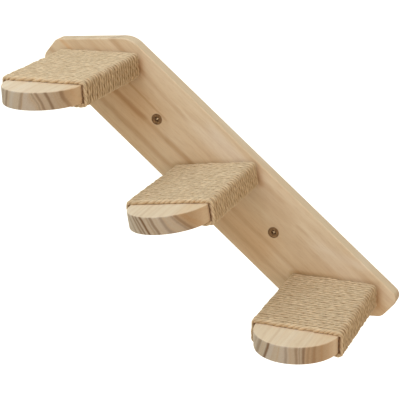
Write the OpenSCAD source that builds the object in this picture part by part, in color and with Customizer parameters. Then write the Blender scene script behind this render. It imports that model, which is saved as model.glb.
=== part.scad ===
// Wall ladder for a cat: a sloping back plank that carries three rope-wrapped steps.
// X runs along the wall, Y into the wall and Z up, in millimetres.
// The origin is on the plank's back face, halfway along the plank and across it.

/* [Back plank] */
// Length of the plank along its slope
plank_l = 505; // [480:5:600]
// Width of the plank across its slope
plank_w = 102; // [96:1:120]
// Thickness of the plank
plank_t = 17.5; // [15:0.5:22]
// Slope of the plank below the horizontal, in degrees
slope = 45; // [40:1:50]
// Part of each end that stays square to the long sides, beside the level cut
square_end = 33; // [28:1:38]
// Radius of the two corners at each square part
corner_r = 11; // [4:1:14]
// Radius of the blunt corner at each level cut
blunt_r = 29; // [8:1:40]
// Easing of the plank's edges
plank_ease = 1.6; // [0.5:0.1:2.5]

/* [Steps] */
// Width of a step board
step_w = 95; // [88:1:110]
// Depth of a step from the plank to the front of its round nose
step_depth = 184.5; // [170:0.5:220]
// Thickness of a step board
step_t = 20; // [17:0.5:26]
// Easing of the step's edges
step_ease = 1.4; // [0.5:0.1:2]
// Distance between steps, along the plank
step_pitch = 192; // [175:1:200]
// Shift of each step from the plank's middle line, square to the slope: top, middle, bottom
step_shift = [1, 2.5, 1]; // [-4:0.5:6]
// Clockwise lean of each step as it was screwed on, in degrees: top, middle, bottom
step_lean = [3, -4, 4]; // [-5:0.5:5]

/* [Rope] */
// Turns of rope round a step
rope_turns = 24; // [8:1:24]
// Width of one turn along the board
rope_w = 5.25; // [4:0.05:5.3]
// Thickness of the rope, square to the board
rope_t = 5; // [3:0.1:5.3]
// Gap between neighbouring turns
rope_gap = 0.5; // [0.45:0.05:0.8]
// Length of each rope end inside the board
rope_tuck = 6; // [5.5:0.5:7]

/* [Step screws] */
// Length of a step screw
step_screw_l = 60; // [45:1:80]
// Thread diameter of a step screw
step_screw_d = 4.5; // [3.5:0.1:5.5]
// Head diameter of a step screw
step_screw_head_d = 9; // [7:0.1:10]
// Distance between the two screws of a step
step_screw_spacing = 60; // [40:1:70]

/* [Wall screws] */
// Length of a wall screw
wall_screw_l = 60; // [45:1:80]
// Thread diameter of a wall screw
wall_screw_d = 6; // [5:0.1:7]
// Head diameter of a wall screw
wall_screw_head_d = 12; // [10:0.1:13]
// Distance between the wall screws, along the plank
wall_screw_spacing = 192; // [180:1:200]
// Shift of both wall screws down the plank
wall_screw_shift = -1; // [-3:0.5:3]
// Drop of both wall screws below the plank's middle line
wall_screw_drop = 1; // [-2:0.5:2]

/* [Hidden] */

$fn = 64;
top = 0;
middle = 1;
bottom = 2;
left = -1;
right = 1;

pine = "#DCC39B";
pine_end = "#D2B588";
jute = "#C6A77C";
bronze = "#6E5334";
zinc = "#C9B26A";

// Clearances: a screw in its hole, a countersunk head in its seat, rope beside wood
screw_fit = 0.15;
seat_fit = 0.3;
rope_fit = 0.3;

// Countersunk heads are 90 degree cones on a thin rim, sunk a little below the surface
head_rim = 0.4;
head_sink = 0.4;
// Diameter of a screw's plain shank, as a share of its thread's
shank_share = 0.72;
// A tip is this many thread diameters long
tip_share = 1.1;
// Cross recess of a head, as shares of the head's diameter
recess_span = 0.54;
recess_slot = 0.11;
recess_depth = 0.22;

// Steps of a rounded corner, of the nose and of an eased edge
corner_steps = 8;
nose_steps = 40;
ease_steps = 3;
// Overlap that keeps a cut from ending on a surface
thin = 0.01;

// A wall screw's thread starts in the plane of the plank's back face
wall_shank_l = plank_t - head_sink;

step_r = step_w / 2;
// Where the round nose begins, measured from the plank
nose_start = step_depth - step_r;

// Rope path: centre line height over the wood, and radius of its bends over an edge
rope_inner_bend = 1.2;
rope_rise = rope_fit + rope_t / 2;
rope_bend = rope_t / 2 + rope_inner_bend;
rope_pitch = rope_w + rope_gap;
// Distance of the first turn's centre from the plank
rope_start = rope_fit + rope_w / 2;
// The rope bends eight times a turn, twice at each edge of the board
bends = 8;
half_bend = 180 / bends;

function turned(v, a) = [v.x * cos(a) - v.y * sin(a), v.x * sin(a) + v.y * cos(a)];
function direction(a, b) = (b - a) / norm(b - a);
function sign_of(x) = x < 0 ? -1 : 1;

// The plank's six corners before rounding, clockwise, with X down the slope
cut_run = (plank_w - square_end) / tan(slope);
plank_corners = [
    [-plank_l / 2, -plank_w / 2],
    [-plank_l / 2, square_end - plank_w / 2],
    [cut_run - plank_l / 2, plank_w / 2],
    [plank_l / 2, plank_w / 2],
    [plank_l / 2, plank_w / 2 - square_end],
    [plank_l / 2 - cut_run, -plank_w / 2]
];
plank_radii = [corner_r, corner_r, blunt_r, corner_r, corner_r, blunt_r];

// Outward normal of the edge that leaves corner i
function plank_normal(i) =
    turned(direction(plank_corners[i % 6], plank_corners[(i + 1) % 6]), 90);

// Rounded outline of the plank, drawn in by the given inset
plank_outline = function (inset) [
    for (i = [0:5])
        let (
            r = plank_radii[i],
            n1 = plank_normal(i + 5),
            n2 = plank_normal(i),
            centre = plank_corners[i] - r * (n1 + n2) / (1 + n1 * n2),
            turn = acos(n1 * n2)
        )
        for (k = [0:corner_steps]) centre + (r - inset) * turned(n1, -turn * k / corner_steps)
];

// Outline of a step: straight sides and a full round nose, drawn in by the given inset
step_outline = function (inset) concat(
    [[inset - step_r, 0]],
    [
        for (k = [0:nose_steps])
            let (a = 180 - 180 * k / nose_steps)
            [(step_r - inset) * cos(a), nose_start + (step_r - inset) * sin(a)]
    ],
    [[step_r - inset, 0]]
);

// A flat board with rounded edges: outline gives its points, drawn in by an inset
module eased_board(outline, thickness, ease) {
    hull()
        for (k = [0:ease_steps])
            let (
                a = 90 * k / ease_steps,
                drop = ease * (1 - sin(a))
            )
            translate([0, 0, drop])
                linear_extrude(thickness - 2 * drop) polygon(outline(ease * (1 - cos(a))));
}

// Wall frame: X along the wall, Y up and Z out from the wall
module on_wall() {
    rotate([90, 0, 0]) children();
}

// The same frame turned so that X runs down the plank's slope
module along_slope() {
    on_wall() rotate(-slope) children();
}

// Frame of step i, at the middle of its joint with the plank: Z runs out to the nose
module at_step(i) {
    along_slope()
        translate([(i - middle) * step_pitch, step_shift[i], plank_t])
            rotate(slope - step_lean[i])
                children();
}

// Frame of one of step i's screws, with Z running from the plank's back to the nose
module at_step_screw(i, side) {
    at_step(i) translate([side * step_screw_spacing / 2, 0, -plank_t]) children();
}

// Frame of a wall screw: Z runs out from the plank's back face
module at_wall_screw(end) {
    along_slope()
        translate([end * wall_screw_spacing / 2 + wall_screw_shift, -wall_screw_drop, 0])
            children();
}

// Solid of revolution of a countersunk screw, point up, with its head's face at Z = 0.
// The plain shank runs to shank_l, and the thread from there to the tip.
module screw_body(l, d, head_d, shank_l) {
    shank_r = d * shank_share / 2;
    head_r = head_d / 2;
    neck = head_rim + head_r - shank_r;
    tip = d * tip_share;
    rotate_extrude()
        polygon([
            [0, 0], [head_r, 0], [head_r, head_rim], [shank_r, neck], [shank_r, shank_l],
            [d / 2, shank_l], [d / 2, l - tip], [0, l]
        ]);
}

// Cross recess, sunk into a head whose face is at Z = 0
module cross_recess(head_d) {
    span = head_d * recess_span;
    slot = head_d * recess_slot;
    deep = head_d * recess_depth;
    for (a = [0, 90])
        rotate(a) translate([-span / 2, -slot / 2, -thin]) cube([span, slot, deep + thin]);
}

module screw(l, d, head_d, shank_l) {
    difference() {
        screw_body(l, d, head_d, shank_l);
        cross_recess(head_d);
    }
}

// Clearance hole through the plank with a seat for a countersunk head at Z = 0.
// The seat is the head's own cone, larger all round by seat_fit.
module screw_hole(d, head_d) {
    hole_r = d / 2 + screw_fit;
    rim_r = head_d / 2 + seat_fit;
    seat = head_sink + head_rim;
    translate([0, 0, -thin]) cylinder(h = plank_t + 2 * thin, r = hole_r);
    translate([0, 0, -thin]) cylinder(h = seat + thin, r = rim_r);
    translate([0, 0, seat - thin]) cylinder(h = rim_r - hole_r, r1 = rim_r, r2 = hole_r);
}

module back_plank() {
    color(pine)
        difference() {
            along_slope()
                eased_board(plank_outline, plank_t, plank_ease);
            for (i = [top, middle, bottom], side = [left, right])
                at_step_screw(i, side) screw_hole(step_screw_d, step_screw_head_d);
            for (end = [-1, 1])
                at_wall_screw(end)
                    translate([0, 0, plank_t])
                        rotate([180, 0, 0])
                            screw_hole(wall_screw_d, wall_screw_head_d);
        }
}

// Pilot hole for a step screw, from the joint into the board's end grain
module pilot_hole() {
    depth = step_screw_l + head_sink - plank_t + seat_fit;
    translate([0, 0, -thin]) cylinder(h = depth + thin, d = step_screw_d + 2 * screw_fit);
}

// Pockets in the underside for the rope's two ends. The first is open to the plank,
// which closes it; the last is drilled where the rope stops.
module rope_pockets() {
    deep = rope_tuck + rope_fit;
    notch_w = rope_t + 2 * rope_fit;
    translate([-notch_w / 2, -step_t / 2 - thin, -thin])
        cube([notch_w, deep + thin, rope_start + rope_w / 2 + rope_fit + thin]);
    translate([0, -step_t / 2 - thin, rope_end_z()])
        rotate([-90, 0, 0])
            cylinder(h = deep + thin, r = norm([rope_t / 2, rope_w / 4]) + rope_fit);
}

module step_board(i) {
    color(pine_end)
        at_step(i)
            difference() {
                translate([0, step_t / 2, 0])
                    rotate([90, 0, 0])
                        eased_board(step_outline, step_t, step_ease);
                for (side = [left, right])
                    translate([side * step_screw_spacing / 2, 0, 0]) pilot_hole();
                rope_pockets();
            }
}

// Half the board's width at a distance z from the plank
function board_half(z) =
    z <= nose_start ? step_r : sqrt(step_r * step_r - pow(z - nose_start, 2));

// Share of a turn at which the rope reaches bend j of a turn. A turn starts at the
// middle of the underside, goes up the left side, over the top and down the right side.
function turn_share(j) =
    let (
        corner = floor(j / 2),
        sides = step_r + (corner > 0 ? step_t : 0) + (corner > 1 ? step_w : 0) + (corner > 2 ? step_t : 0),
        to_bend = rope_bend * PI / bends
    )
    (sides + (j % 2 == 0 ? -to_bend : to_bend)) / (2 * step_w + 2 * step_t);

// Distance of the rope's centre from the plank after the given number of turns
function rope_z(turns) = rope_start + rope_pitch * turns;
function rope_end_z() = rope_z(rope_turns);

// Six corners of the rope's section as [across its thickness, along its width]
rope_section = [
    [0, 0.5], [0.5, 0.25], [0.5, -0.25], [0, -0.5], [-0.5, -0.25], [-0.5, 0.25]
];

// Section number n of the winding, on an edge of the board. All are mitred, so that
// the tube keeps its thickness round each edge.
function winding_ring(n) =
    let (
        j = n % bends,
        a = -90 - half_bend - 2 * half_bend * j,
        z = rope_z(floor(n / bends) + turn_share(j)),
        inset = rope_bend - rope_rise,
        centre = [
            sign_of(cos(a)) * (board_half(z) - inset),
            sign_of(sin(a)) * (step_t / 2 - inset)
        ]
    )
    [
        for (s = rope_section)
            let (p = centre + (rope_bend + s[0] * rope_t) / cos(half_bend) * [cos(a), sin(a)])
            [p.x, p.y, z + s[1] * rope_w]
    ];

// Section of a rope end where it bends from the underside up into its pocket.
// angle is 0 where the rope lies flat and 90 where it points up; heading is the side
// to which the flat rope leads away, and rise lifts the section along the pocket.
function tuck_ring(z, angle, heading, rise = 0) =
    let (
        r = rope_bend,
        centre = [heading * r, -step_t / 2 - rope_rise + r]
    )
    [
        for (s = rope_section)
            let (q = r + s[0] * rope_t)
            [centre.x - heading * q * sin(angle), centre.y - q * cos(angle) + rise, z + s[1] * rope_w]
    ];

tuck_rise = rope_tuck + rope_rise - rope_bend;
tuck_angles = [90, 45, 0];

rope_rings = concat(
    [tuck_ring(rope_start, 90, left, tuck_rise)],
    [for (a = tuck_angles) tuck_ring(rope_start, a, left)],
    [for (n = [0:bends * rope_turns - 1]) winding_ring(n)],
    [for (k = [2:-1:0]) tuck_ring(rope_end_z(), tuck_angles[k], right)],
    [tuck_ring(rope_end_z(), 90, right, tuck_rise)]
);

// Least distance between points of one turn and of the turns beside it
rope_last = len(rope_rings) - 1;
rope_least_gap = min([
    for (i = [0:rope_last - bends + 2], j = [i + bends - 2:min(i + bends + 2, rope_last)])
        for (p = rope_rings[i], q = rope_rings[j]) norm(p - q)
]);
echo(str("least gap between rope turns: ", rope_least_gap, " mm"));

// One closed tube through a list of six-sided rings
module tube(rings) {
    n = len(rings);
    sides = len(rings[0]);
    points = [for (ring = rings) each ring];
    walls = [
        for (i = [0:n - 2], k = [0:sides - 1])
            let (
                a = i * sides + k,
                b = i * sides + (k + 1) % sides
            )
            each [[a, b, a + sides], [b, b + sides, a + sides]]
    ];
    caps = [
        for (k = [1:sides - 2])
            each [[0, k + 1, k], [(n - 1) * sides, (n - 1) * sides + k, (n - 1) * sides + k + 1]]
    ];
    polyhedron(points, concat(walls, caps));
}

module rope_wrap(i) {
    color(jute) at_step(i) tube(rope_rings);
}

module step_screw(i, side) {
    color(zinc)
        at_step_screw(i, side)
            translate([0, 0, head_sink])
                screw(step_screw_l, step_screw_d, step_screw_head_d, plank_t - head_sink);
}

module wall_screw(end) {
    color(bronze)
        at_wall_screw(end)
            translate([0, 0, plank_t - head_sink])
                rotate([180, 0, 0])
                    screw(wall_screw_l, wall_screw_d, wall_screw_head_d, wall_shank_l);
}

back_plank();
step_board(top);  // step_board_top
step_board(middle);  // step_board_middle
step_board(bottom);  // step_board_bottom
rope_wrap(top);  // rope_wrap_top
rope_wrap(middle);  // rope_wrap_middle
rope_wrap(bottom);  // rope_wrap_bottom
step_screw(top, left);  // step_screw_top_left
step_screw(top, right);  // step_screw_top_right
step_screw(middle, left);  // step_screw_middle_left
step_screw(middle, right);  // step_screw_middle_right
step_screw(bottom, left);  // step_screw_bottom_left
step_screw(bottom, right);  // step_screw_bottom_right
wall_screw(-1);  // wall_screw_upper
wall_screw(1);  // wall_screw_lower
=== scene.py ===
import math
import random

import bmesh
import bpy
import numpy as np
from mathutils import Matrix, Vector


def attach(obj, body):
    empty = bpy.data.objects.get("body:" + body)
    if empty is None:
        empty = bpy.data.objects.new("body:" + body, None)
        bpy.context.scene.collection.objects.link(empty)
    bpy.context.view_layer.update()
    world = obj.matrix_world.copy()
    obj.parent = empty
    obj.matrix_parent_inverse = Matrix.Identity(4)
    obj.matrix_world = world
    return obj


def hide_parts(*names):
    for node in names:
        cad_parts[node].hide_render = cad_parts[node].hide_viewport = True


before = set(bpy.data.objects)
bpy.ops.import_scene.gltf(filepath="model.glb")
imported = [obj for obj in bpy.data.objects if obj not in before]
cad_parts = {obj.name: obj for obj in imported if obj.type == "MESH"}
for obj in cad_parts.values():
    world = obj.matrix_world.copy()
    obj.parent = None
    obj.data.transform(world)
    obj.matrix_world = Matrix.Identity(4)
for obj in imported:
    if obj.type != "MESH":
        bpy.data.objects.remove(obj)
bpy.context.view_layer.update()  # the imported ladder: X along the wall, Y into it, Z up, in metres
print("frame loaded:", len(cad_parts), "nodes")

mm = 0.001
stepNames = ("top", "middle", "bottom")

# How the joiner set the ladder out
layout = {
    "slope": math.radians(45),
    "plankThick": 17.5 * mm,
    "stepPitch": 192 * mm,  # along the plank
    "stepShift": (1 * mm, 2.5 * mm, 1 * mm),  # up from the plank's middle line
    "stepLean": (math.radians(3), math.radians(-4), math.radians(4)),  # clockwise
    "stepWide": 95 * mm,
    "stepDeep": 184.5 * mm,
    "stepThick": 20 * mm,
    "wallScrewSpacing": 192 * mm,
    "wallScrewShift": -1 * mm,
    "wallScrewDrop": 1 * mm,  # below the plank's middle line
    "stepScrewSpacing": 60 * mm,
}

downSlope = Vector((math.cos(layout["slope"]), 0, -math.sin(layout["slope"])))
upSlope = Vector((math.sin(layout["slope"]), 0, math.cos(layout["slope"])))
outward = Vector((0, -1, 0))


def placeOf(origin, x, y, z):  # a place with the given axes
    place = Matrix((x, y, z)).transposed().to_4x4()
    place.translation = origin
    return place


def stepAxes(i):  # middle of step i's joint, then its across and up directions
    along = (i - 1) * layout["stepPitch"]
    joint = downSlope * along + upSlope * layout["stepShift"][i] + outward * layout["plankThick"]
    lean = layout["stepLean"][i]
    across = Vector((math.cos(lean), 0, -math.sin(lean)))
    up = Vector((math.sin(lean), 0, math.cos(lean)))
    return joint, across, up


def stepPlace(i):  # X across the step, Y up, Z out to the nose
    joint, across, up = stepAxes(i)
    return placeOf(joint, across, up, outward)


def wallScrewAt(end):  # how far along the plank a wall screw sits, from its middle
    return end * layout["wallScrewSpacing"] / 2 + layout["wallScrewShift"]


def added(name, data):  # a new object in the scene
    thing = bpy.data.objects.new(name, data)
    bpy.context.scene.collection.objects.link(thing)
    return thing


def closed(bm, merge):  # merged into one shell, capped and turned outward
    bmesh.ops.remove_doubles(bm, verts=bm.verts, dist=merge)
    bmesh.ops.holes_fill(bm, edges=[edge for edge in bm.edges if edge.is_boundary], sides=0)
    bmesh.ops.recalc_face_normals(bm, faces=bm.faces)


def meshOf(bm, name):
    mesh = bpy.data.meshes.new(name)
    bm.to_mesh(mesh)
    bm.free()
    return mesh


def smoothed(mesh):
    mesh.polygons.foreach_set("use_smooth", [True] * len(mesh.polygons))


# Node helpers, shared by all materials

def wire(tree, source, target):  # joins a socket, or sets a plain value
    if isinstance(source, bpy.types.NodeSocket):
        tree.links.new(source, target)
    else:
        target.default_value = source


def give(tree, node, *values, **named):  # to its first inputs in order, and by names without spaces
    for value, socket in zip(values, node.inputs):
        wire(tree, value, socket)
    for socket in node.inputs:
        key = socket.name.replace(" ", "")
        if key in named:
            wire(tree, named[key], socket)


def maths(tree, operation, *values):
    node = tree.nodes.new("ShaderNodeMath")
    node.operation = operation
    give(tree, node, *values)
    return node.outputs[0]


def times(tree, first, second):
    return maths(tree, "MULTIPLY", first, second)


def vectorMaths(tree, operation, *vectors):
    node = tree.nodes.new("ShaderNodeVectorMath")
    node.operation = operation
    give(tree, node, *vectors)
    return node.outputs


def fade(tree, value, low, high, lowResult=0, highResult=1):  # smooth step
    node = tree.nodes.new("ShaderNodeMapRange")
    node.interpolation_type = "SMOOTHSTEP"
    give(tree, node, value, low, high, lowResult, highResult)
    return node.outputs["Result"]


def split(tree, vector):
    node = tree.nodes.new("ShaderNodeSeparateXYZ")
    give(tree, node, vector)
    return tuple(node.outputs)


def join(tree, x, y, z):
    node = tree.nodes.new("ShaderNodeCombineXYZ")
    give(tree, node, x, y, z)
    return node.outputs[0]


def noiseOf(tree, vector, amounts, detail=2, rough=0.5):  # noise of a stretched vector
    node = tree.nodes.new("ShaderNodeTexNoise")
    point = vectorMaths(tree, "MULTIPLY", vector, amounts)["Vector"]
    give(tree, node, Vector=point, Scale=1, Detail=detail, Roughness=rough)
    return node.outputs["Fac"]


def mixed(tree, share, first, second, blend="MIX"):
    node = tree.nodes.new("ShaderNodeMix")
    node.data_type = "RGBA"
    node.blend_type = blend
    wire(tree, share, node.inputs[0])
    wire(tree, first, node.inputs[6])  # 6 and 7 are its colour sockets, and 2 the colour result
    wire(tree, second, node.inputs[7])
    return node.outputs[2]


def bumped(tree, height, strength, distance):
    node = tree.nodes.new("ShaderNodeBump")
    give(tree, node, Strength=strength, Distance=distance, Height=height)
    return node.outputs["Normal"]


def objectPoint(tree):
    return tree.nodes.new("ShaderNodeTexCoord").outputs["Object"]


def faceNormal(tree):
    return tree.nodes.new("ShaderNodeNewGeometry").outputs["Normal"]


def pointShare(tree, name):  # a share kept on a mesh's points
    node = tree.nodes.new("ShaderNodeAttribute")
    node.attribute_name = name
    return node.outputs["Fac"]


def newGroup(name, vectors, floats, outputs):  # labels of its sockets
    tree = bpy.data.node_groups.new(name, "ShaderNodeTree")
    for labels, kind, way in ((vectors, "Vector", "INPUT"), (floats, "Float", "INPUT"),
                              (outputs, "Float", "OUTPUT")):
        for label in labels:
            tree.interface.new_socket(name=label, in_out=way, socket_type="NodeSocket" + kind)
    start = tree.nodes.new("NodeGroupInput")
    end = tree.nodes.new("NodeGroupOutput")
    return tree, start.outputs, end.inputs


def useGroup(tree, group, **values):
    node = tree.nodes.new("ShaderNodeGroup")
    node.node_tree = group
    give(tree, node, **values)
    return node.outputs


def newMaterial(name):
    material = bpy.data.materials.new(name)
    material.use_nodes = True
    return material, material.node_tree, material.node_tree.nodes["Principled BSDF"]


def paint(red, green, blue):  # a screen colour as the shader's linear one
    def linear(c):
        c /= 255
        return c / 12.92 if c <= 0.04045 else ((c + 0.055) / 1.055) ** 2.4
    return (linear(red), linear(green), linear(blue), 1)


def ownPoint(tree, place):  # Object coordinates in a piece's own frame, in millimetres
    node = tree.nodes.new("ShaderNodeMapping")
    node.vector_type = "TEXTURE"
    give(tree, node, Vector=objectPoint(tree), Location=place.translation,
         Rotation=place.to_3x3().to_euler("XYZ"), Scale=(mm, mm, mm))
    return node.outputs["Vector"]


# Pine: streaks, the board's grain and the painted shade in the corner round a step as groups, all in
# millimetres

grainShape = {
    # noise: how fast it changes along, across and through the board, its detail and its roughness
    "wander": ((0.012, 0.03, 0.03), 1),
    "quiver": ((0.06, 0.1, 0.1), 1),
    "bands": ((0.003, 0.085, 1), 1),
    "rings": ((0.004, 0.42, 1), 1),
    "fibres": ((0.05, 1.9, 1.9), 3, 0.6),
    "flecks": ((0.07, 0.5, 0.5), 3, 0.65),
    "pores": ((0.5, 4.5, 4.5), 2, 0.7),
    "wanderBy": 7,  # how far the rings stray
    "quiverBy": 1.2,
    "endGrain": (0.12, 0.75),  # how square to the grain a face is where it begins and is full
    "darkens": (-0.9, -0.1),  # late wood darkens slowly, in widths of its streak,
    "clears": 0.1,  # and ends more quickly,
    "clearsOver": 0.8,  # in this at a blur of 1
}


def lineGroup():  # one streak along the board
    tree, given, result = newGroup("ringLine", (), (
        "Across", "Along", "At", "Rise", "Wide", "Start", "Stop", "Ends", "Deep", "Blur"), ("Line",))
    along, start, stop, ends = given["Along"], given["Start"], given["Stop"], given["Ends"]
    middle = maths(tree, "ADD", given["At"], times(tree, along, given["Rise"]))
    offset = maths(tree, "DIVIDE", maths(tree, "SUBTRACT", given["Across"], middle), given["Wide"])
    slow = fade(tree, offset, *grainShape["darkens"])
    clears = grainShape["clears"]
    clear = maths(tree, "MULTIPLY_ADD", given["Blur"], grainShape["clearsOver"], clears)
    quick = fade(tree, offset, clears, clear, 1, 0)
    begin = fade(tree, along, maths(tree, "SUBTRACT", start, ends), start)
    finish = fade(tree, along, stop, maths(tree, "ADD", stop, ends), 1, 0)
    line = times(tree, times(tree, slow, quick), times(tree, begin, finish))
    wire(tree, times(tree, line, given["Deep"]), result["Line"])
    return tree


def grainGroup():  # from a point in the board: X along, Y across, Z through
    tree, given, result = newGroup("pineGrain", ("Point", "Grain Way"), (
        "Face At", "Lean Left", "Lean Right", "Turn From", "Turn To", "Lot",
    ), ("Along", "Across", "Bands", "Rings", "Fibres", "Flecks", "Pores", "End"))
    along, across, through = split(tree, given["Point"])
    point = join(tree, along, across, maths(tree, "ADD", through, given["Lot"]))
    lean = fade(tree, across, given["Turn From"], given["Turn To"], given["Lean Left"], given["Lean Right"])
    below = maths(tree, "SUBTRACT", given["Face At"], through)
    ring = maths(tree, "SUBTRACT", across, times(tree, lean, below))
    for name in ("wander", "quiver"):
        stray = maths(tree, "SUBTRACT", noiseOf(tree, point, *grainShape[name]), 0.5)
        ring = maths(tree, "ADD", ring, times(tree, stray, grainShape[name + "By"]))
    ringPoint = join(tree, along, ring, given["Lot"])
    wire(tree, along, result["Along"])
    wire(tree, ring, result["Across"])
    for name, at in (("bands", ringPoint), ("rings", ringPoint), ("fibres", point), ("flecks", point),
                     ("pores", point)):
        wire(tree, noiseOf(tree, at, *grainShape[name]), result[name.title()])
    facing = vectorMaths(tree, "DOT_PRODUCT", faceNormal(tree), given["Grain Way"])["Value"]
    wire(tree, fade(tree, maths(tree, "ABSOLUTE", facing), *grainShape["endGrain"]), result["End"])
    return tree


# Painted shade on the plank round each wrapped step: a dark line at the rope, a soft shade round it, and a
# warm shadow beside its right side
cornerShade = {
    "rope": 4,  # thickness of the rope round a board
    "from": 0.5,  # distance from the rope at which the shades begin to fade
    "line": (6.5, 0.6),  # where the dark line ends, and its strength
    "soft": (20, 0.16),  # the same for the soft shade round it
    "warm": (9, 0.4),  # and for the painted warm shadow beside the rope
    "front": (-1.8, -0.6),  # none on the plank's back
    "leftward": (-30, 50, 1, 0.5),  # more on the side that the light misses
    "beside": (42, 54),  # the painted warm shadow falls along the right side,
    "low": (2, 14, 1, 0.2),  # and more of it low down
}


def cornerGroup():  # painted shade on the plank, by how near a point is to a wrapped step, in the step's frame
    tree, given, result = newGroup("stepCorner", ("Point",), (), ("ContactShade", "WarmShadow"))
    across, up, out = split(tree, given["Point"])
    beyond = []
    for value, size in ((across, layout["stepWide"]), (up, layout["stepThick"])):
        edge = size / 2 / mm + cornerShade["rope"]
        past = maths(tree, "SUBTRACT", maths(tree, "ABSOLUTE", value), edge)
        beyond.append(maths(tree, "MAXIMUM", past, 0))
    distance = vectorMaths(tree, "LENGTH", join(tree, beyond[0], beyond[1], 0))["Value"]

    def nearby(end, strength):
        return fade(tree, distance, cornerShade["from"], end, strength, 0)

    near = maths(tree, "ADD", nearby(*cornerShade["line"]), nearby(*cornerShade["soft"]))
    front = fade(tree, out, *cornerShade["front"])
    leftward = fade(tree, across, *cornerShade["leftward"])
    wire(tree, times(tree, times(tree, near, front), leftward), result["ContactShade"])
    beside = times(tree, fade(tree, across, *cornerShade["beside"]), front)
    beside = times(tree, fade(tree, up, *cornerShade["low"]), beside)
    wire(tree, times(tree, nearby(*cornerShade["warm"]), beside), result["WarmShadow"])
    return tree


ringLine = lineGroup()
stepCorner = cornerGroup()
pineGrain = grainGroup()

pine = {
    "sap": paint(244, 236, 224),
    # what the wood is multiplied by
    "late": paint(194, 157, 107),  # in a ring line
    "lateEnd": paint(159, 130, 100),  # in a ring line on end grain
    "amber": paint(246, 221, 186),  # nearer the heart
    "pressed": paint(150, 124, 92),  # round a screw head: painted shadow of the countersink, and fibres pressed down there
    "endShade": paint(213, 214, 217),
    "shadowed": paint(222, 208, 182),  # painted shade in the corner round a step
    "warmed": paint(232, 200, 164),  # painted warm shadow beside the rope, with its bounce light
    # painted light: faces that look up are mixed with this, as where the light from above falls
    "bleached": paint(252, 236, 208),
}
pineLook = {
    # levels between which each comes in
    "bands": (0.32, 0.68),
    "rings": (0.45, 0.75),
    "flecks": (0.42, 0.75),
    "fibres": (0.3, 0.75),
    "pores": (0.35, 0.62),
    "upward": (0.35, 0.7),  # of a face's slope
    # how much there is
    "ringShare": (0.15, 0.35),  # on side grain and on end grain
    "heartShare": (0.3, 1),
    "fibreShare": 0.11,
    "poreShare": 0.3,
    "headRing": (0.3, 1.3),  # painted shadow and pressed fibres, out from a screw head's edge
    "rough": (0.2, 0.8, 0.5, 0.62),  # levels of the fibres, and roughness at each
    "endRough": 0.16,  # more than that on end grain
    "lateDrop": 0.8,  # how far a ring line sinks, where fibres stand 1
    "bump": (0.35, 0.12 * mm),  # strength and height
}

endless = 999  # past the ends of any board


def streak(at, wide, deep, kind="late", rise=0, start=-endless, stop=endless, ends=12):
    # where it lies across the board, its width and depth of colour, as the ringLine group takes them
    return kind, {"At": at, "Wide": wide, "Deep": deep, "Rise": rise, "Start": start, "Stop": stop,
                  "Ends": ends}


def streakMasks(tree, grain, wood):
    masks = {"late": 0, "amber": 0, "sap": 0}
    for kind, values in wood["streaks"]:
        mask = useGroup(tree, ringLine, Across=grain["Across"], Along=grain["Along"], Blur=wood["blur"],
                        **values)
        masks[kind] = maths(tree, "MAXIMUM", masks[kind], mask["Line"])
    return masks


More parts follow.
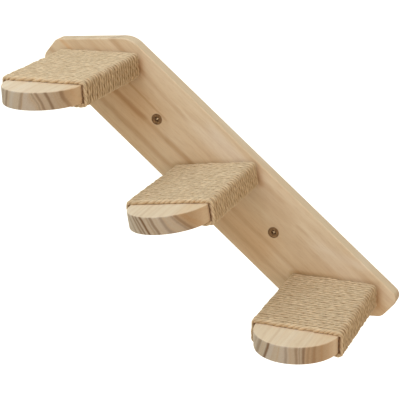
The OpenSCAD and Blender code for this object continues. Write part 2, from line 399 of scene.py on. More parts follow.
def pineMaterial(name, grainPlace, faceAt, wood):
    material, tree, shader = newMaterial(name)
    point = ownPoint(tree, grainPlace)
    turnFrom, turnTo, left, right = wood["lean"]
    grain = useGroup(tree, pineGrain, Point=point, GrainWay=grainPlace.to_3x3().col[0], FaceAt=faceAt,
                     TurnFrom=turnFrom, TurnTo=turnTo, LeanLeft=left, LeanRight=right, Lot=wood["lot"])
    end = grain["End"]
    masks = streakMasks(tree, grain, wood)

    def shaded(share, shade):  # the colour so far, multiplied
        return mixed(tree, share, colour, shade, "MULTIPLY")

    def byGrain(onSide, onEnd):  # a value for side grain and one for end grain
        return maths(tree, "MULTIPLY_ADD", end, onEnd - onSide, onSide)

    bands = times(tree, fade(tree, grain["Bands"], *pineLook["bands"]), wood["bandShare"])
    tones = fade(tree, grain["Across"], *wood["tone"])
    colour = mixed(tree, maths(tree, "ADD", bands, tones), wood["pale"], wood["tan"])
    rings = fade(tree, grain["Rings"], *pineLook["rings"])
    colour = shaded(times(tree, rings, byGrain(*pineLook["ringShare"])), pine["amber"])
    hearts = times(tree, fade(tree, grain["Across"], *wood["heart"]), byGrain(*pineLook["heartShare"]))
    colour = shaded(maths(tree, "MAXIMUM", hearts, masks["amber"]), pine["amber"])
    strength = byGrain(wood["faceShare"], 1)
    colour = mixed(tree, times(tree, masks["sap"], strength), colour, pine["sap"])
    late = mixed(tree, end, pine["late"], pine["lateEnd"])
    colour = shaded(times(tree, masks["late"], strength), late)
    colour = shaded(fade(tree, grain["Flecks"], *pineLook["flecks"], 0, wood["fleckShare"]), pine["late"])
    colour = shaded(fade(tree, grain["Fibres"], *pineLook["fibres"], pineLook["fibreShare"], 0),
                    pine["late"])
    pores = fade(tree, grain["Pores"], *pineLook["pores"], pineLook["poreShare"], 0)
    colour = shaded(times(tree, pores, end), pine["late"])
    colour = shaded(times(tree, end, wood["endShare"]), pine["endShade"])
    # painted light: faces that look up are made paler
    upwards = split(tree, faceNormal(tree))[2]
    colour = mixed(tree, fade(tree, upwards, *pineLook["upward"], 0, wood["bleach"]), colour,
                   pine["bleached"])
    for i, share in enumerate(wood["dust"]):
        corner = useGroup(tree, stepCorner, Point=ownPoint(tree, stepPlace(i)))
        # painted contact shade and painted warm shadow round each step
        colour = shaded(times(tree, corner["ContactShade"], share), pine["shadowed"])
        colour = shaded(corner["WarmShadow"], pine["warmed"])
    along, across = split(tree, point)[:2]
    for atAlong, atAcross, radius in wood["heads"]:  # painted shadow round a screw head, and fibres pressed down there
        alongBy = maths(tree, "SUBTRACT", along, atAlong)
        acrossBy = maths(tree, "SUBTRACT", across, atAcross)
        fromEdge, toWood = (radius + out for out in pineLook["headRing"])
        distance = vectorMaths(tree, "LENGTH", join(tree, alongBy, acrossBy, 0))["Value"]
        colour = shaded(fade(tree, distance, fromEdge, toWood, 1, 0), pine["pressed"])
    rough = fade(tree, grain["Fibres"], *pineLook["rough"])
    rough = maths(tree, "MULTIPLY_ADD", end, pineLook["endRough"], rough)
    height = maths(tree, "ADD", grain["Fibres"], times(tree, grain["Pores"], end))
    height = maths(tree, "SUBTRACT", height, times(tree, masks["late"], pineLook["lateDrop"]))
    give(tree, shader, BaseColor=colour, Roughness=rough, Normal=bumped(tree, height, *pineLook["bump"]))
    return material


boardFinish = {
    "merge": 0.001 * mm,  # points nearer than this are one
    "flat": math.radians(0.2),  # faces that differ by less are one
    "sharp": math.radians(32),
    "weight": 80,  # how much large faces keep their own shading
}


def boardCopy(node, name, material):  # the CAD board, merged and shaded smooth
    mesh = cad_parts[node].data.copy()
    mesh.name = name
    bm = bmesh.new()
    bm.from_mesh(mesh)
    bmesh.ops.remove_doubles(bm, verts=bm.verts, dist=boardFinish["merge"])
    bmesh.ops.dissolve_limit(bm, angle_limit=boardFinish["flat"], verts=bm.verts, edges=bm.edges)
    bmesh.ops.recalc_face_normals(bm, faces=bm.faces)
    bm.to_mesh(mesh)
    bm.free()
    mesh.materials.clear()
    mesh.materials.append(material)
    smoothed(mesh)
    mesh.set_sharp_from_angle(angle=boardFinish["sharp"])
    piece = added(name, mesh)
    weighted = piece.modifiers.new("flatFacesStayFlat", "WEIGHTED_NORMAL")
    weighted.keep_sharp = True
    weighted.weight = boardFinish["weight"]
    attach(piece, "root")
    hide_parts(node)
    return piece


# The back plank, with its streaks from the upper left end to the lower right one; the broad ones round the
# steps are painted light and shade

plank = {
    "grain": placeOf(Vector((0, 0, 0)), downSlope, upSlope, outward),
    "lot": 3,
    "pale": paint(231, 214, 187),
    "tan": paint(215, 190, 155),
    # across the board from and to, and the amount at each
    "lean": (-40, 40, -0.5, 0.5),  # of the rings, as they go down from the face
    "tone": (46, -30, 0, 0.35),  # darker towards the lower edge: painted shade
    "heart": (-36, -48, 0, 0.35),
    "endShare": 0.05,  # how much darker end grain is
    "bandShare": 0.4,
    "faceShare": 0.85,  # how much of a streak shows on side grain
    "fleckShare": 0.16,
    # painted light on the faces that look up
    "bleach": 0.2,
    "dust": (0.35, 0.8, 1),  # of the painted shade in the corners round the steps
    "blur": 1,
    "streaks": (
        streak(20.6, 6, 0.42, rise=-0.067, stop=-78, ends=20),
        streak(35.3, 6, 0.14, rise=0.02, start=-70, ends=25),
        streak(34.5, 8, 0.45, rise=0.02, start=40, stop=72, ends=24),
        streak(35.3, 6, 0.3, rise=0.02, start=205),
        streak(1.6, 3.2, 0.55, rise=-0.045, start=-165, stop=-92, ends=14),
        streak(0, 4.5, 0.16, stop=-190),
        streak(12, 5, 0.16, start=-68, stop=-15, ends=20),
        streak(12, 4.5, 0.14, stop=-190),
        streak(11.5, 5.5, 0.18, rise=0.036, start=45, stop=175, ends=20),
        streak(26.3, 4, 0.3, start=112, stop=122),
        streak(-12, 7, 0.75, start=-168, stop=-115, ends=24),
        streak(-12.6, 6.5, 0.45, start=-168, stop=-60, ends=40),
        streak(-12, 7, 0.55, start=-70, stop=-25, ends=20),
        streak(-15.8, 5, 0.2, start=20, stop=190, ends=25),
        streak(-14, 5, 0.55, "amber", stop=-226, ends=9),
        streak(-33.2, 6.5, 0.5, stop=-20, ends=30),
        streak(-34.2, 5.5, 0.3, start=0, ends=30),
        # the next two: painted light, broad pale zones on the plank above the middle step
        streak(28, 18, 0.35, "sap", start=-20, stop=20, ends=70),
        streak(37, 16, 0.6, "sap", start=-30, stop=26, ends=30),
        streak(-28, 11, 0.42, "sap", rise=0.38, start=150, stop=190, ends=24),
        # painted light: a broad pale zone above the bottom step
        streak(28, 18, 0.28, "sap", start=150, stop=205, ends=35),
        # the rest: painted shade, broad dark zones beside and below the steps, warm ones under the top and
        # middle steps and beside the bottom step's rope
        streak(28, 24, 0.33, start=60, stop=92, ends=26),
        streak(10, 20, 0.2, start=95, stop=125, ends=25),
        streak(6, 48, 0.16, start=-145, stop=-95, ends=30),
        streak(-8, 42, 0.45, "amber", start=-165, stop=-125, ends=60),
        streak(-22, 40, 0.32, "amber", start=45, stop=95, ends=30),
        streak(20, 28, 0.4, "amber", start=218),
    ),
    # along, across, radius
    "heads": tuple((wallScrewAt(end) / mm, -layout["wallScrewDrop"] / mm, 6) for end in (-1, 1)),
}
plankPine = pineMaterial("plankPine", plank["grain"], layout["plankThick"] / mm, plank)
plankPiece = boardCopy("back_plank", "plank", plankPine)
print("plank made")

# The three steps. Streaks are placed across the top face and lean as they go down the end grain.

# Each step's tone darkens it towards its right side; its share, different on each step, is painted shade
# for the lamps' falloff from step to step
boards = {
    "top": {
        "lot": 11,
        "lean": (-1, 13, -0.33, 0.3),
        "tone": (-60, 40, 0, 0.6),
        "heart": (30, 40, 0, 0.6),
        "streaks": (
            streak(-39, 4.5, 0.3), streak(-30, 4, 0.35), streak(-22.2, 4.2, 0.62),
            streak(-0.6, 4, 0.42), streak(11, 2, 0.35), streak(15, 2.8, 0.62), streak(23.6, 3, 0.72),
            streak(36.2, 3.4, 0.6), streak(-37, 6, 0.35, "sap"), streak(-13, 6, 0.45, "sap"),
            streak(5, 5, 0.45, "sap"),
        ),
    },
    "middle": {
        "lot": 37,
        "lean": (10, 30, 0.6, 0.75),
        "tone": (-60, 40, 0, 0.2),
        "heart": (12, 30, 0, 0.75),
        "streaks": (
            streak(-35, 3.6, 0.4), streak(-27.2, 3.4, 0.6), streak(-22.8, 3.2, 0.75),
            streak(-16.7, 3.8, 1), streak(-9, 2.6, 0.35), streak(-4.6, 4.2, 0.68), streak(8.4, 4, 0.48),
            streak(19.8, 2.6, 0.4), streak(23, 3.6, 0.5), streak(-36, 4, 0.2, "sap"),
            streak(7, 6, 0.4, "sap"), streak(19, 4, 0.3, "sap"),
        ),
    },
    "bottom": {
        "lot": 71,
        "lean": (-16, 3, -0.32, -0.08),
        "tone": (-60, 40, 0, 0.3),
        "heart": (18, 28, 0, 0.6),
        "streaks": (
            streak(-37, 5, 0.35), streak(-29.3, 5.5, 0.55), streak(-17.3, 4, 0.95), streak(4, 3, 0.45),
            streak(14.9, 3.2, 0.5), streak(18.2, 2, 0.35), streak(22.3, 3.2, 0.72),
            streak(26.6, 2.4, 0.3), streak(31.5, 4, 0.3), streak(-12, 8, 0.55, "sap"),
            streak(3, 8, 0.55, "sap"),
        ),
    },
}
boardWood = {  # the same on all three
    "pale": paint(243, 229, 205),
    "tan": paint(229, 205, 173),
    "endShare": 1,
    "bandShare": 0.3,
    "faceShare": 0.22,
    "fleckShare": 0.12,
    "bleach": 0,
    "dust": (),
    "heads": (),
    "blur": 0.75,
}
for i, name in enumerate(stepNames):
    joint, across, up = stepAxes(i)
    grainPlace = placeOf(joint, outward, across, up)  # the grain runs out to the nose
    topFace = layout["stepThick"] / 2 / mm
    boardPine = pineMaterial("boardPine_" + name, grainPlace, topFace, {**boardWood, **boards[name]})
    piece = boardCopy("step_board_" + name, "board_" + name, boardPine)
print("boards made")

# Rope: three strands laid together, wound from the plank to the nose

rope = {
    "turns": 24,
    "pitch": 5.75 * mm,
    "first": 2.925 * mm,  # the first turn's centre, from the plank
    "wide": 5.85 * mm,
    "thick": 5.4 * mm,
    "rise": 2.75 * mm,  # from the wood to the rope's centre
    "bend": 3.7 * mm,
    "tuck": 6 * mm,  # length of each end inside the board
    "lay": 24 * mm,  # length in which a strand goes once round
    "strand": 0.65,  # strand radius and its distance out, as shares of the rope's radius
    "strandOut": 0.35,
    "pressed": 1.35,  # how much fuller the side against the wood is
    "clear": 0.05 * mm,  # least gap to the wood
    "stride": 1.45 * mm,  # between sections where the rope runs straight
    "bendSections": 5,
    "tuckSections": 4,
    "sides": 18,
    "mapUnits": 10,  # units of the rope's own map in a metre
    "merge": 0.0005 * mm,
    "seed": 40,
    # how far each wanders, and the millimetres of rope that it takes
    "layWander": (2.2, 390),
    "layQuiver": (0.7, 110),
    "swell": (0.03, 23),
    "plump": ((0.12, 29), (0.12, 37), (0.12, 43)),  # one for each strand
    "lift": (0.2 * mm, 47),
    "sway": (0.45 * mm, 61),
}


def ropeRoute():  # the centre line in a step's own frame, and the way out from the wood
    rise, bend, pitch, turns = rope["rise"], rope["bend"], rope["pitch"], rope["turns"]
    bendSections, tuckSections = rope["bendSections"], rope["tuckSections"]
    high = layout["stepThick"] / 2 + rise - bend
    radius = layout["stepWide"] / 2
    noseStart = layout["stepDeep"] - radius
    bendLong = math.pi * bend / 2
    points, ways = [], []

    def put(x, y, z, wayX, wayY):
        points.append((x, y, z))
        ways.append((wayX, wayY, 0))

    def tucked(z, heading):  # a rope end in its pocket, from the pocket to the underside
        straight = rope["tuck"] + rise - bend
        rows = [(0, -high + straight * (1 - k / tuckSections), z, -heading, 0)
                for k in range(tuckSections)]
        for k in range(bendSections):
            angle = math.radians(90 * k / bendSections)
            rows.append((heading * bend * (1 - math.cos(angle)), -high - bend * math.sin(angle), z,
                         -heading * math.cos(angle), -math.sin(angle)))
        return rows

    for row in tucked(rope["first"], -1):
        put(*row)
    for turn in range(turns):
        z0 = rope["first"] + pitch * turn
        beyond = max(0, z0 + pitch / 2 - noseStart)
        half = math.sqrt(radius * radius - beyond * beyond) + rise - bend
        tuckedIn = bend if turn == 0 else 0
        tuckedOut = bend if turn == turns - 1 else 0
        # legs of one turn: start, end and way out of each straight, then the bend after it
        legs = (
            ((-tuckedIn, -high - bend), (-half, -high - bend), -90),
            ((-half - bend, -high), (-half - bend, high), 180),
            ((-half, high + bend), (half, high + bend), 90),
            ((half + bend, high), (half + bend, -high), 0),
            ((half, -high - bend), (tuckedOut, -high - bend), -90),
        )
        lap = 4 * half + 4 * high + 2 * math.pi * bend
        gone = tuckedIn
        for number, (start, end, facing) in enumerate(legs):
            long = math.dist(start, end)
            count = max(2, round(long / rope["stride"]))
            wayX, wayY = math.cos(math.radians(facing)), math.sin(math.radians(facing))
            for k in range(count):
                share = k / count
                put(start[0] + (end[0] - start[0]) * share, start[1] + (end[1] - start[1]) * share,
                    z0 + pitch * (gone + long * share) / lap, wayX, wayY)
            gone += long
            if number < len(legs) - 1:
                centre = (end[0] - wayX * bend, end[1] - wayY * bend)
                for k in range(bendSections):
                    angle = math.radians(facing - 90 * k / bendSections)
                    put(centre[0] + bend * math.cos(angle), centre[1] + bend * math.sin(angle),
                        z0 + pitch * (gone + bendLong * k / bendSections) / lap,
                        math.cos(angle), math.sin(angle))
                gone += bendLong
    for row in reversed(tucked(rope["first"] + pitch * turns, 1)):
        put(*row)
    return np.array(points), np.array(ways)


def wander(length, chance, amount, period):  # three waves that make up about that amount either way
    total = np.zeros_like(length)
    for stretch in (1, 0.61, 0.37):
        total += np.sin(2 * math.pi * length / (period * mm * stretch) + chance.uniform(0, 6.28))
    return amount * (total / 2.2)


def strandRadius(angle):  # the rope's outline at an angle round it, as a share of its radius
    near = (angle % (2 * math.pi / 3)) - math.pi / 3  # from the middle of the nearest strand
    out = rope["strandOut"]
    return out * np.cos(near) + np.sqrt(rope["strand"] ** 2 - (out * np.sin(near)) ** 2)


# Painted shade on the rope: next to the wood, between the turns, and towards the corners by the plank
ropeShade = {
    # for each step
    "top": (0.5, 0.95, 1.3),
    "sides": (1.25, 0.85, 1.25),  # between the turns
    "wall": (1, 0.4, 1),  # on its right side, towards the plank
    "betweenTop": (0.5, 0.35),  # painted shade between the turns on top, and more by this on a more shaded step
    "touching": (0.4, 0.45),  # where round the rope the dark between turns begins, and its width
    "freeSide": 0.4,  # less on the last turn's free side
    "woodShade": 0.3,  # how far below the rope's middle the shade next to the wood begins,
    "standOff": 0.7,  # and how much higher where the front turn stands off the board's sides
    "frontTurns": 1.2,
    # from the left edge, and out from the plank: where the painted corner shade starts and in what distance
    # it is full
    "leftCorner": (20 * mm, 80 * mm),
    "backCorner": (50 * mm, 50 * mm),
    "wallCorner": (85 * mm, 85 * mm),
    "cornerShares": (0.65, 0.35),  # left and back
}


def keepShare(mesh, name, values):
    mesh.attributes.new(name, "FLOAT", "POINT").data.foreach_set("value", values)


def shadeRope(mesh, i, centre, way, angle, local):  # keeps each point's painted shade on the mesh
    def inFront(turns):
        return centre[:, 2] > rope["first"] + rope["pitch"] * (rope["turns"] - turns)

    def grows(value, start, over):
        return np.clip((start - value) / over, 0, 1)

    top = ropeShade["top"][i]
    onSides = np.abs(way[:, 0])
    onRight = np.clip(way[:, 0], 0, 1)
    standOff = ropeShade["standOff"] * (inFront(ropeShade["frontTurns"]) & (onSides > 0.9))
    keepShare(mesh, "nearWood", np.clip(standOff - ropeShade["woodShade"] - np.cos(angle), 0, 1))
    free = inFront(1) & (np.sin(angle) > 0)
    touching = np.abs(np.sin(angle)) * (1 - ropeShade["freeSide"] * free)
    begins, over = ropeShade["touching"]
    always, shadowed = ropeShade["betweenTop"]
    amount = onSides * ropeShade["sides"][i] + (1 - onSides) * (always + shadowed * top)
    keepShare(mesh, "nearTurn", np.clip((touching - begins) / over, 0, 1) * amount)
    left, back = ropeShade["cornerShares"]
    inCorner = (left * grows(local[:, 0], *ropeShade["leftCorner"])
                + back * grows(local[:, 2], *ropeShade["backCorner"]))
    toWall = grows(local[:, 2], *ropeShade["wallCorner"])
    keepShare(mesh, "shadowed", inCorner * top * (1 - onRight) + toWall * onRight * ropeShade["wall"][i])


def ropeMesh(name, i):
    place = stepPlace(i)
    chance = random.Random(rope["seed"] + i)
    points, ways = ropeRoute()
    steps = np.linalg.norm(np.diff(points, axis=0), axis=1)
    length = np.concatenate(([0], np.cumsum(steps)))
    count, sides = len(points), rope["sides"]
    bm = bmesh.new()
    bm.loops.layers.uv.new("ropeMap")
    bmesh.ops.create_grid(bm, x_segments=count - 1, y_segments=sides, size=0.5, calc_uvs=True)
    mesh = meshOf(bm, name)
    flat = np.zeros(len(mesh.vertices) * 3)
    mesh.vertices.foreach_get("co", flat)
    flat = flat.reshape(-1, 3)
    section = np.rint((flat[:, 0] + 0.5) * (count - 1)).astype(int)
    side = np.rint((flat[:, 1] + 0.5) * sides).astype(int) % sides
    phase = -2 * math.pi * length / rope["lay"]  # the lay tightens and slackens along the rope
    phase += wander(length, chance, *rope["layWander"]) + wander(length, chance, *rope["layQuiver"])
    swell = 1 + wander(length, chance, *rope["swell"])
    plump = np.array([1 + wander(length, chance, *strand) for strand in rope["plump"]])
    lift = wander(length, chance, *rope["lift"])
    sway = wander(length, chance, *rope["sway"])
    own = 2 * math.pi * side / sides
    radius = strandRadius(own) * swell[section] * plump[side * 3 // sides, section]
    angle = own + phase[section]
    outBy = radius * np.cos(angle) * rope["thick"] / 2 + lift[section]
    pressed = np.maximum(outBy * rope["pressed"], rope["clear"] - rope["rise"])
    outBy = np.where(outBy < 0, pressed, outBy)
    alongBy = radius * np.sin(angle) * rope["wide"] / 2 + sway[section]
    local = points[section] + ways[section] * outBy[:, None]
    local[:, 2] += alongBy
    turn = np.array(place.to_3x3())
    world = local @ turn.T + np.array(place.translation)
    mesh.vertices.foreach_set("co", world.ravel())
    shadeRope(mesh, i, points[section], ways[section], angle, local)
    uvLayer = mesh.uv_layers["ropeMap"]
    uv = np.zeros(len(mesh.loops) * 2)
    uvLayer.uv.foreach_get("vector", uv)
    uv = uv.reshape(-1, 2)
    nearest = np.clip(np.rint(uv[:, 0] * (count - 1)).astype(int), 0, count - 1)
    uv[:, 0] = length[nearest] * rope["mapUnits"]
    uvLayer.uv.foreach_set("vector", uv.ravel())
    bm = bmesh.new()
    bm.from_mesh(mesh)
    closed(bm, rope["merge"])  # the grid's long edges meet
    bm.to_mesh(mesh)
    bm.free()
    smoothed(mesh)
    return mesh, length[-1]


sisal = {
    "bright": paint(250, 236, 208),
    "light": paint(238, 218, 186),
    "mid": paint(217, 194, 159),
    "dark": paint(166, 131, 88),
    # painted shade in the grooves between strands and between the turns
    "groove": paint(130, 89, 50),
    "shaded": paint(112, 78, 46),  # painted shade next to the wood
    # noise: how fast it changes along a fibre, across it and from strand to strand, detail, roughness
    "fibres": ((0.16, 1.5, 1), 3, 0.7),
    "yarns": ((0.1, 0.7, 1), 2, 0.6),
    "tufts": ((0.35, 0.8, 1), 2, 0.6),
    "lengths": ((0.11, 0.1, 1), 1),
    "patches": ((45, 45, 45), 2),  # on the whole ladder
    "fibreLay": 0.75,  # how much of the lay the fibres take back
    "roundRope": 17,  # fibre pattern in a turn round the rope
    "strandStep": 9,  # and from one strand to the next
    "tones": (0.32, 0.68),  # levels of the yarns, from mid to light
    # what is mixed in, by which mask, its levels and the share at each
    "layers": (
        ("bright", "fibres", (0.28, 0.46, 0.6, 0)),
        ("dark", "fibres", (0.5, 0.74, 0, 0.6)),
        ("dark", "tufts", (0.58, 0.8, 0, 0.6)),
        ("mid", "patches", (0.4, 0.75, 0, 0.3)),
        # painted shade in the grooves between the strands
        ("groove", "grooves", (0.6, 1, 0, 0.36)),
    ),
    "lengthTones": (0.34, 0.66, 0.93, 1.04),
    "turnShare": 0.5,  # of painted shade between the turns
    # painted shade in the corners by the plank
    "dustShare": 0.22,
    "rough": (0.2, 0.8, 0.92, 0.72),  # levels of the fibres, and roughness at each
    "yarnHigh": 0.8,  # how high the yarns stand, where fibres stand 1
    "bump": (0.7, 0.4 * mm),
    "specular": 0.3,
}


def ropeMaterial():  # fibres run along the rope; the grooves between strands, the gaps between turns, the side next to the wood and the corners by the plank get painted shade
    material, tree, shader = newMaterial("sisalRope")
    uvMap = tree.nodes.new("ShaderNodeUVMap")
    uvMap.uv_map = "ropeMap"
    u, v = split(tree, uvMap.outputs["UV"])[:2]
    long = times(tree, u, 1 / rope["mapUnits"] / mm)  # in millimetres
    strand = maths(tree, "FLOOR", times(tree, v, 3))
    inStrand = maths(tree, "FRACT", times(tree, v, 3))
    fromMiddle = maths(tree, "ABSOLUTE", maths(tree, "SUBTRACT", inStrand, 0.5))
    across = maths(tree, "MULTIPLY_ADD", u, -sisal["fibreLay"] / rope["mapUnits"] / rope["lay"], v)
    fibrePoint = join(tree, long, times(tree, across, sisal["roundRope"]),
                      times(tree, strand, sisal["strandStep"]))
    masks = {name: noiseOf(tree, fibrePoint, *sisal[name])
             for name in ("fibres", "yarns", "tufts", "lengths")}
    masks["patches"] = noiseOf(tree, objectPoint(tree), *sisal["patches"])
    masks["grooves"] = times(tree, fromMiddle, 2)
    colour = mixed(tree, fade(tree, masks["yarns"], *sisal["tones"]), sisal["mid"], sisal["light"])
    for shade, mask, levels in sisal["layers"]:
        colour = mixed(tree, fade(tree, masks[mask], *levels), colour, sisal[shade])
    tone = fade(tree, masks["lengths"], *sisal["lengthTones"])
    colour = mixed(tree, 1, colour, join(tree, tone, tone, tone), "MULTIPLY")
    colour = mixed(tree, times(tree, pointShare(tree, "nearTurn"), sisal["turnShare"]), colour,
                   sisal["groove"])
    colour = mixed(tree, times(tree, pointShare(tree, "shadowed"), sisal["dustShare"]), colour, sisal["dark"])
    colour = mixed(tree, fade(tree, pointShare(tree, "nearWood"), 0, 1), colour, sisal["shaded"])
    height = maths(tree, "ADD", masks["fibres"], times(tree, masks["yarns"], sisal["yarnHigh"]))
    give(tree, shader, BaseColor=colour, Roughness=fade(tree, masks["fibres"], *sisal["rough"]),
         Normal=bumped(tree, height, *sisal["bump"]), SpecularIORLevel=sisal["specular"])
    return material


ropeSisal = ropeMaterial()
for i, name in enumerate(stepNames):
    mesh, long = ropeMesh("rope_" + name, i)
    mesh.materials.append(ropeSisal)
    piece = added("rope_" + name, mesh)
    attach(piece, "root")
    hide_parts("rope_wrap_" + name)
print("ropes wound,", round(long, 2), "m to a step,", len(mesh.polygons), "faces")

# Screws: countersunk heads with a cross recess, and a turned thread

wallScrew = {
    "long": 60 * mm, "head": 12 * mm, "thread": 6 * mm, "core": 3.9 * mm, "pitch": 2.6 * mm,
    "threadFrom": 17.1 * mm, "sunk": 0.4 * mm,
    "turned": (24, 58),  # upper and lower, in degrees
}
stepScrew = {
    "long": 60 * mm, "head": 9 * mm, "thread": 4.5 * mm, "core": 2.9 * mm, "pitch": 2 * mm,
    "threadFrom": 17.1 * mm, "sunk": 0.4 * mm,
    "turned": (0.7, 0.4),  # for each step down and each side, in radians
}
screwShape = {
    "segments": 48,
    "shank": 0.72,  # of the thread's diameter
    "neck": (0.4 * mm, 0.3 * mm),  # the hollow between head and shank, out and down
    "rim": 0.4 * mm,
    "lip": 0.25 * mm,  # rounding of the head's edge
    "lipMiddle": (0.3, 0.25),  # in from the edge and down, as shares of the lip
    "recess": 0.27,  # reach of the cross from the middle, of the head's diameter
    "recessDeep": 0.14,
    "recessRings": ((0.36, 1), (0.62, 0.85)),  # shares of its reach and depth
    "recessEdge": (0.93, 0.1 * mm),
    "slotTurn": math.radians(15),  # half the angle that a slot's end takes up
    # the thread's outline: diameter, and share of the pitch
    "profile": (("core", 0), ("core", 0.5), ("thread", 0.72), ("thread", 0.78), ("core", 1)),
    "runIn": 0.5,  # length in which the thread grows, in pitches
    "tip": 1.1,  # length of the point, in thread diameters
    "tipEnd": 0.02,  # its end's share of the full radius
    "stepsPerTurn": 20,
    "sharp": math.radians(40),
    "near": 0.01 * mm,  # to the recess's bottom or edge
    "merge": 0.002 * mm,
}


def crossReach(angle, reach):  # outline of a cross recess
    near = abs((angle + math.pi / 4) % (math.pi / 2) - math.pi / 4)
    half = reach * math.tan(screwShape["slotTurn"])
    return min(reach / math.cos(near), half / max(math.sin(near), 1e-6))


def ringOf(bm, radius, z, cross=False):  # a loop of the screw's outline
    made = bmesh.ops.create_circle(bm, segments=screwShape["segments"], radius=radius)["verts"]
    for vert in made:
        angle = math.atan2(vert.co.y, vert.co.x)
        if cross:
            vert.co *= crossReach(angle, radius) / radius
        vert.co.z = z
    return [edge for edge in bm.edges if edge.verts[0] in made and edge.verts[1] in made]


def headAndShank(bm, size):
    headR = size["head"] / 2
    shankR = size["thread"] * screwShape["shank"] / 2
    reach = size["head"] * screwShape["recess"]
    deep = size["head"] * screwShape["recessDeep"]
    lip, rim = screwShape["lip"], screwShape["rim"]
    lipIn, lipDown = screwShape["lipMiddle"]
    neckOut, neckDown = screwShape["neck"]
    edgeReach, edgeDeep = screwShape["recessEdge"]
    rings = [ringOf(bm, reach * out, deep * down, cross=True) for out, down in screwShape["recessRings"]]
    rings += [
        ringOf(bm, reach * edgeReach, edgeDeep, cross=True),
        ringOf(bm, reach, 0, cross=True),
        ringOf(bm, headR - lip, 0),
        ringOf(bm, headR - lip * lipIn, lip * lipDown),
        ringOf(bm, headR, lip),
        ringOf(bm, headR, rim),
        ringOf(bm, shankR + neckOut, rim + headR - shankR - neckOut),
        ringOf(bm, shankR, rim + headR - shankR + neckDown),
        ringOf(bm, shankR, size["threadFrom"]),
    ]
    for first, second in zip(rings, rings[1:]):
        bmesh.ops.bridge_loops(bm, edges=first + second)
    recessGlint = bm.verts.layers.float.new("recessGlint")
    recessShade = bm.verts.layers.float.new("recessShade")
    near = screwShape["near"]
    for vert in bm.verts:  # painted highlight on the recess's bottom, and painted shade up its sides
        if vert.co.z < deep + near and math.hypot(*vert.co.xy) < reach - near:
            vert[recessGlint] = float(vert.co.z > deep - near)
            vert[recessShade] = 1 - vert[recessGlint]


def threadOn(bm, size):
    before = set(bm.verts)
    start, pitch, core = size["threadFrom"], size["pitch"], size["core"] / 2
    corners = [bm.verts.new((size[part] / 2, 0, start - pitch + pitch * share))
               for part, share in screwShape["profile"]]
    outline = [bm.edges.new(pair) for pair in zip(corners, corners[1:])]
    turns = int((size["long"] - start) / pitch)
    steps = screwShape["stepsPerTurn"]
    bmesh.ops.spin(bm, geom=corners + outline, cent=(0, 0, 0), axis=(0, 0, 1), dvec=(0, 0, pitch / steps),
                   angle=2 * math.pi * turns, steps=steps * turns)
    made = [vert for vert in bm.verts if vert not in before]
    last = max(vert.co.z for vert in made)
    tip = size["thread"] * screwShape["tip"]
    for vert in made:  # the thread runs in from the shank and out to the point
        radius = math.hypot(vert.co.x, vert.co.y)
        grow = min(1, max(0, (vert.co.z - start) / (screwShape["runIn"] * pitch)))
        wanted = core + (radius - core) * grow
        wanted *= min(1, max(screwShape["tipEnd"], (last - vert.co.z) / tip))
        vert.co.x *= wanted / radius
        vert.co.y *= wanted / radius


def screwPiece(name, node, place, size, material):
    bm = bmesh.new()
    headAndShank(bm, size)
    threadOn(bm, size)
    closed(bm, screwShape["merge"])
    bmesh.ops.transform(bm, matrix=place, verts=bm.verts)
    mesh = meshOf(bm, name)
    smoothed(mesh)
    mesh.set_sharp_from_angle(angle=screwShape["sharp"])
    mesh.materials.append(material)
    piece = added(name, mesh)
    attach(piece, "root")
    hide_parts(node)


plating = {
    # bright: the painted highlight on the recess's bottom
    "bronzePlate": {"base": paint(126, 96, 64), "dull": paint(88, 62, 38),
                    "bright": paint(214, 186, 148), "rough": 0.34},
    "yellowZinc": {"base": paint(218, 196, 132), "dull": paint(190, 160, 92),
                   "bright": paint(222, 208, 170), "rough": 0.26},
    # the same on both; the first two are the painted shade up the recess's sides
    "grime": paint(70, 48, 26),
    "grimeShare": 0.8,
    "bloom": ((900, 900, 900), 3, 0.6),  # noise over the whole ladder, detail, roughness
    "scratch": ((4200, 900, 4200), 2, 0.6),
    "dulls": (0.35, 0.7),  # levels of the bloom
    "roughens": (0.3, 0.7),
    "roughBy": 0.18,
    "metallic": (0.3, 0.75, 1, 0.75),  # levels of the bloom, and the metal at each
    "bump": (0.25, 0.05 * mm),
}


def metalMaterial(name):  # plated steel, with a dull bloom on it
    metal = plating[name]
    material, tree, shader = newMaterial(name)
    bloom = noiseOf(tree, objectPoint(tree), *plating["bloom"])
    scratch = noiseOf(tree, objectPoint(tree), *plating["scratch"])
    colour = mixed(tree, fade(tree, bloom, *plating["dulls"]), metal["base"], metal["dull"])
    # painted shade up the recess's sides, and a painted highlight on its bottom
    colour = mixed(tree, times(tree, pointShare(tree, "recessShade"), plating["grimeShare"]), colour,
                   plating["grime"])
    colour = mixed(tree, pointShare(tree, "recessGlint"), colour, metal["bright"])
    rough = fade(tree, bloom, *plating["roughens"], metal["rough"], metal["rough"] + plating["roughBy"])
    give(tree, shader, BaseColor=colour, Roughness=rough, Metallic=fade(tree, bloom, *plating["metallic"]),
         Normal=bumped(tree, scratch, *plating["bump"]))
    return material


bronze = metalMaterial("bronzePlate")
zinc = metalMaterial("yellowZinc")

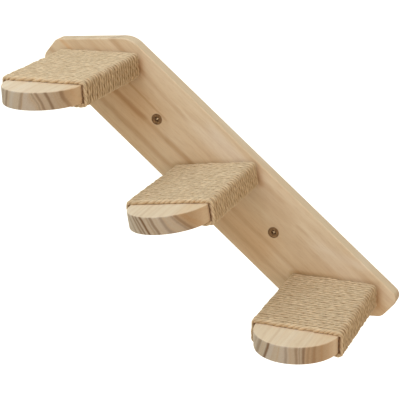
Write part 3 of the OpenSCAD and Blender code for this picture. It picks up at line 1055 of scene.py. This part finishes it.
for end, name, turned in zip((-1, 1), ("upper", "lower"), wallScrew["turned"]):
    head = downSlope * wallScrewAt(end) - upSlope * layout["wallScrewDrop"]
    head += outward * (layout["plankThick"] - wallScrew["sunk"])
    place = placeOf(head, downSlope, -upSlope, -outward) @ Matrix.Rotation(math.radians(turned), 4, "Z")
    screwPiece("wallScrew_" + name, "wall_screw_" + name, place, wallScrew, bronze)
byStep, bySide = stepScrew["turned"]
for i, name in enumerate(stepNames):
    joint, across, up = stepAxes(i)
    for side, sideName in ((-1, "left"), (1, "right")):
        back = joint + across * side * layout["stepScrewSpacing"] / 2
        head = Vector((back.x, -stepScrew["sunk"], back.z))
        turn = Matrix.Rotation(byStep * i + bySide * side, 4, "Z")
        place = placeOf(head, across, up, outward) @ turn
        screwPiece(f"stepScrew_{name}_{sideName}", f"step_screw_{name}_{sideName}", place, stepScrew, zinc)
print("screws turned")

# Studio: pale floor, white all round, soft lamps

studio = {
    "floorAt": -1.2,
    "floorSize": 60,
    "floorNoise": ((0.7, 0.7, 0.7), 3),
    "floorTones": (0.3, 0.7, 0.9, 0.93),
    "floorRough": 0.9,
    "floorWhite": 0.95,  # its glow where it is seen
    "ambient": 0.41,
    "ambientTint": paint(255, 244, 208),
    # name, place, what it is aimed at, size, watts, colour
    "lamps": (
        ("overhead", (-0.55, -1.1, 2.2), (0, -0.08, 0), 1.8, 37.6, paint(226, 240, 255)),
        ("front", (0.3, -2.6, 0.9), (0, -0.05, 0), 1.5, 10, paint(255, 235, 226)),
        ("rightFill", (2.2, -1.6, 0.3), (0, -0.05, 0), 1.4, 8.6, paint(255, 196, 168)),
    ),
}


def seenDirectly(tree):  # 1 straight on, in gloss and through glass, and 0 for lighting the ladder
    path = tree.nodes.new("ShaderNodeLightPath")
    seen = maths(tree, "MAXIMUM", path.outputs["Is Camera Ray"], path.outputs["Is Glossy Ray"])
    return maths(tree, "MAXIMUM", seen, path.outputs["Is Transmission Ray"])


world = bpy.data.worlds.new("studioWhite")
world.use_nodes = True
bpy.context.scene.world = world
tree = world.node_tree
ambient = tree.nodes["Background"]
give(tree, ambient, Strength=studio["ambient"], Color=studio["ambientTint"])
white = tree.nodes.new("ShaderNodeBackground")
give(tree, white, Strength=1, Color=(1, 1, 1, 1))
choose = tree.nodes.new("ShaderNodeMixShader")
give(tree, choose, seenDirectly(tree), ambient.outputs[0], white.outputs[0])
give(tree, tree.nodes["World Output"], Surface=choose.outputs[0])

floorPaint, tree, shader = newMaterial("paleFloor")
tone = fade(tree, noiseOf(tree, objectPoint(tree), *studio["floorNoise"]), *studio["floorTones"])
glow = times(tree, seenDirectly(tree), studio["floorWhite"])
give(tree, shader, BaseColor=join(tree, tone, tone, tone), Roughness=studio["floorRough"],
     EmissionColor=(1, 1, 1, 1), EmissionStrength=glow)
bm = bmesh.new()
bmesh.ops.create_grid(bm, x_segments=4, y_segments=4, size=studio["floorSize"] / 2)
bmesh.ops.translate(bm, verts=bm.verts, vec=(0, 0, studio["floorAt"]))
floorMesh = meshOf(bm, "floor")
floorMesh.materials.append(floorPaint)
floor = added("floor", floorMesh)

for name, at, target, size, watts, colour in studio["lamps"]:
    lamp = bpy.data.lights.new(name, "AREA")
    lamp.shape = "DISK"
    lamp.size = size
    lamp.energy = watts
    lamp.color = colour[:3]
    holder = added(name, lamp)
    holder.location = at
    holder.rotation_euler = (Vector(target) - Vector(at)).to_track_quat("-Z", "Y").to_euler()

# Camera, fitted to the photograph's edges. Lengths are in millimetres.

view = {
    "picture": 400,  # pixels across
    "focal": 1323.95,  # in those pixels
    "sensor": 36,
    "azimuth": math.radians(23.98),
    "elevation": math.radians(17.78),
    "roll": math.radians(-5.42),
    "shift": (25.43, 34.10, 1574.99),  # of the origin, to the right, up and away
}


def aimCamera():
    az, el, roll = view["azimuth"], view["elevation"], view["roll"]
    forward = Vector((-math.sin(az) * math.cos(el), math.cos(az) * math.cos(el), -math.sin(el)))
    levelRight = Vector((math.cos(az), math.sin(az), 0))
    levelUp = levelRight.cross(forward)
    right = levelRight * math.cos(roll) + levelUp * math.sin(roll)
    up = levelUp * math.cos(roll) - levelRight * math.sin(roll)
    sideways, upwards, away = (value * mm for value in view["shift"])
    lens = bpy.data.cameras.new("camera")
    lens.sensor_width = view["sensor"]
    lens.lens = view["focal"] / view["picture"] * view["sensor"]
    lens.clip_start = 0.05
    lens.clip_end = 100
    camera = added("camera", lens)
    camera.matrix_world = placeOf(-(right * sideways + up * upwards + forward * away), right, up, -forward)
    bpy.context.scene.camera = camera


aimCamera()
bpy.context.scene.view_settings.view_transform = "Standard"
print("studio and camera set")
